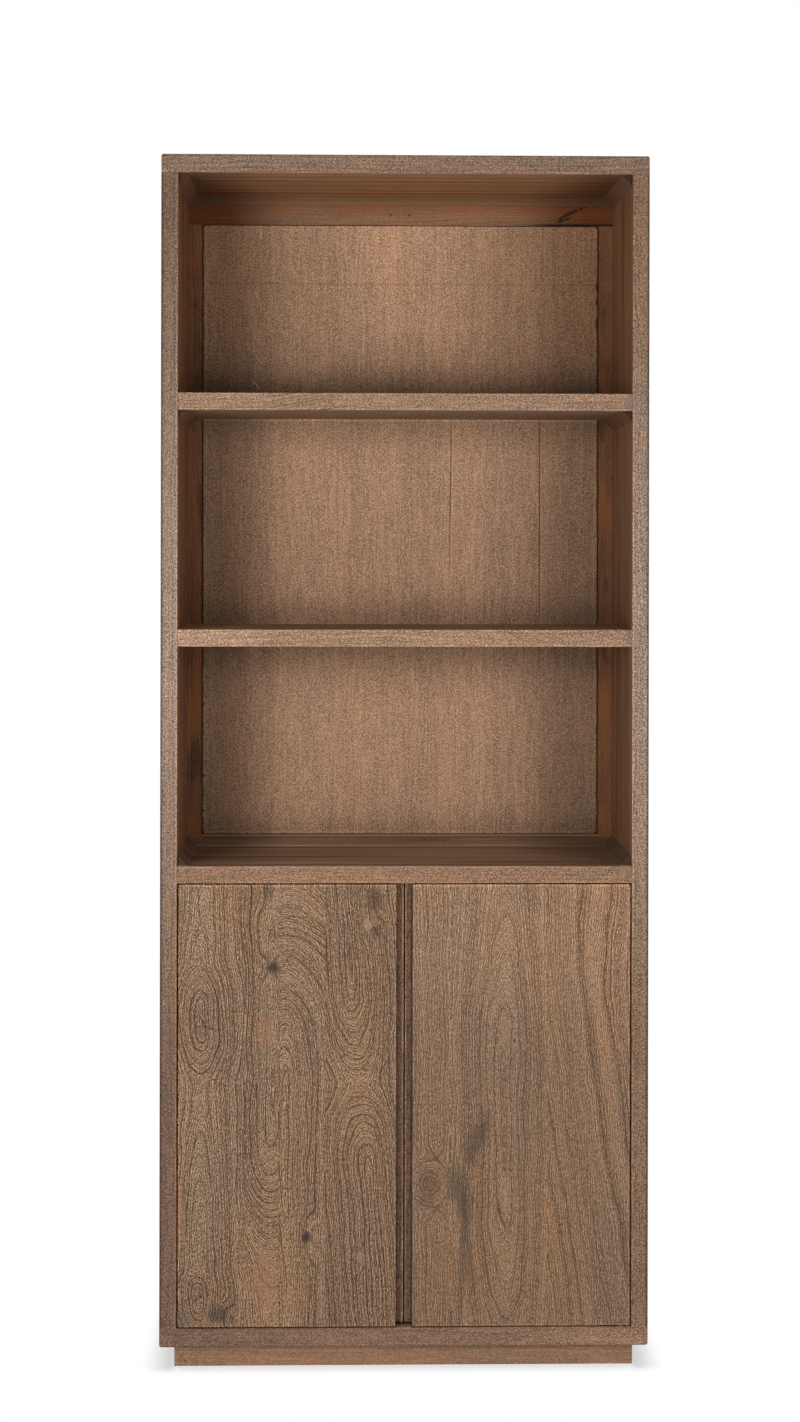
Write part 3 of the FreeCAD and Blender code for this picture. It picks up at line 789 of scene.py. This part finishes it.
def lay_floor():
    """A pale floor that keeps the soft shadow at the plinth, with a painted shadow beside the plinth's
    ends, is plain white further off, and glows a little onto the bookcase in place of light bounced off it.
    """
    bpy.ops.object.select_all(action="DESELECT")
    bpy.ops.mesh.primitive_plane_add(size=60.0, location=(0.0, 0.0, 0.0))
    floor = bpy.context.object
    floor.name = "floor"
    paper = Finish("floor_paper")
    plinth_half_width, plinth_half_depth = 0.376, 0.17
    shadow_reach = 0.06
    larger = {"operation": "MAXIMUM"}
    reach_x = paper.node("ShaderNodeMath", larger, {0: abs(paper.x) - plinth_half_width, 1: 0.0})[0]
    reach_y = paper.node("ShaderNodeMath", larger, {0: abs(paper.y) - plinth_half_depth, 1: 0.0})[0]
    far = paper.smooth((reach_x * reach_x + reach_y * reach_y) ** 0.5, 0.0, shadow_reach)
    white = even(1.0)
    # painted shadow: the floor is darker beside the ends of the plinth
    beside = paper.smooth(abs(paper.x), plinth_half_width - 0.008, plinth_half_width + 0.008)
    tone = paper.blend(beside, tint(0.76, 0.78, 0.85), tint(0.40, 0.41, 0.45))
    matt = paper.node("ShaderNodeBsdfDiffuse", {}, {"Color": tone})[0]
    pale = paper.node("ShaderNodeBsdfDiffuse", {}, {"Color": tint(0.8, 0.8, 0.82)})[0]
    glow = paper.node("ShaderNodeEmission", {}, {"Color": white, "Strength": 1.0})[0]
    veil = paper.node("ShaderNodeEmission", {}, {"Color": white, "Strength": 0.47})[0]
    # a glow for rays other than the camera's, standing in for light bounced off the floor
    bounce_glow = paper.node("ShaderNodeEmission", {}, {"Color": white, "Strength": 0.2})[0]
    near = paper.node("ShaderNodeAddShader", {}, {0: veil, 1: matt})[0]
    shown = paper.node("ShaderNodeMixShader", {}, {0: far, 1: near, 2: glow})[0]
    lit = paper.node("ShaderNodeAddShader", {}, {0: bounce_glow, 1: pale})[0]
    ray = paper.node("ShaderNodeLightPath", {}, {})
    camera_ray, glossy_ray, transmission_ray = ray[0], ray[3], ray[6]
    seen = camera_ray + glossy_ray + transmission_ray
    mixed = paper.node("ShaderNodeMixShader", {}, {0: seen, 1: lit, 2: shown})[0]
    paper.tree.links.new(mixed.socket, paper.tree.nodes["Material Output"].inputs["Surface"])
    floor.data.materials.append(paper.material)


def hang_softbox(name, place, size, energy, tilt=90.0):
    """A soft light of a width and a height that faces the bookcase; at tilt 0 it looks down."""
    lamp = bpy.data.lights.new(name, "AREA")
    lamp.shape = "RECTANGLE"
    lamp.size, lamp.size_y = size
    lamp.energy = energy
    softbox = bpy.data.objects.new(name, lamp)
    bpy.context.scene.collection.objects.link(softbox)
    softbox.location = place
    softbox.rotation_euler = (math.radians(tilt), 0.0, math.atan2(place[0], -place[1]))
    softbox.visible_camera = False


def light_studio():
    """A white surround, a soft light on each side of the camera, two behind the bookcase and one above."""
    world = bpy.data.worlds.new("studio")
    bpy.context.scene.world = world
    world.use_nodes = True
    tree = world.node_tree
    background = tree.nodes["Background"]
    background.inputs["Color"].default_value = even(1.0)
    ray = tree.nodes.new("ShaderNodeLightPath")
    seen = ray.outputs["Is Camera Ray"]
    for kind in ("Is Glossy Ray", "Is Transmission Ray"):
        either = tree.nodes.new("ShaderNodeMath")
        either.operation = "ADD"
        tree.links.new(seen, either.inputs[0])
        tree.links.new(ray.outputs[kind], either.inputs[1])
        seen = either.outputs[0]
    level = tree.nodes.new("ShaderNodeMapRange")
    surround = 0.07
    level.inputs["To Min"].default_value = surround
    tree.links.new(seen, level.inputs["Value"])
    tree.links.new(level.outputs[0], background.inputs["Strength"])
    upright = (1.1, 2.0)
    hang_softbox("left_softbox", (-1.70, -3.6, 1.33), upright, energy=87.0)
    hang_softbox("right_softbox", (1.93, -3.6, 1.33), upright, energy=52.0)
    hang_softbox("left_rear_softbox", (-2.6, 3.0, 1.6), upright, energy=62.0)
    hang_softbox("right_rear_softbox", (2.6, 3.0, 1.6), upright, energy=62.0)
    hang_softbox("top_softbox", (0.0, 0.7, 4.2), (1.6, 1.0), energy=24.0, tilt=0.0)


def place_camera():
    """The camera a little left of the middle, level, five metres in front."""
    lens = bpy.data.cameras.new("camera")
    lens.lens = 76.62
    lens.sensor_width = 36.0
    lens.shift_x = -0.0081
    lens.shift_y = -0.1148
    camera = bpy.data.objects.new("camera", lens)
    bpy.context.scene.collection.objects.link(camera)
    camera.location = (-0.1244, -5.1398, 1.3420)
    camera.rotation_euler = (math.radians(90.0), math.radians(-0.1077), math.radians(-1.5547))
    bpy.context.scene.camera = camera


lay_floor()
light_studio()
place_camera()
bpy.context.scene.view_settings.view_transform = "Standard"
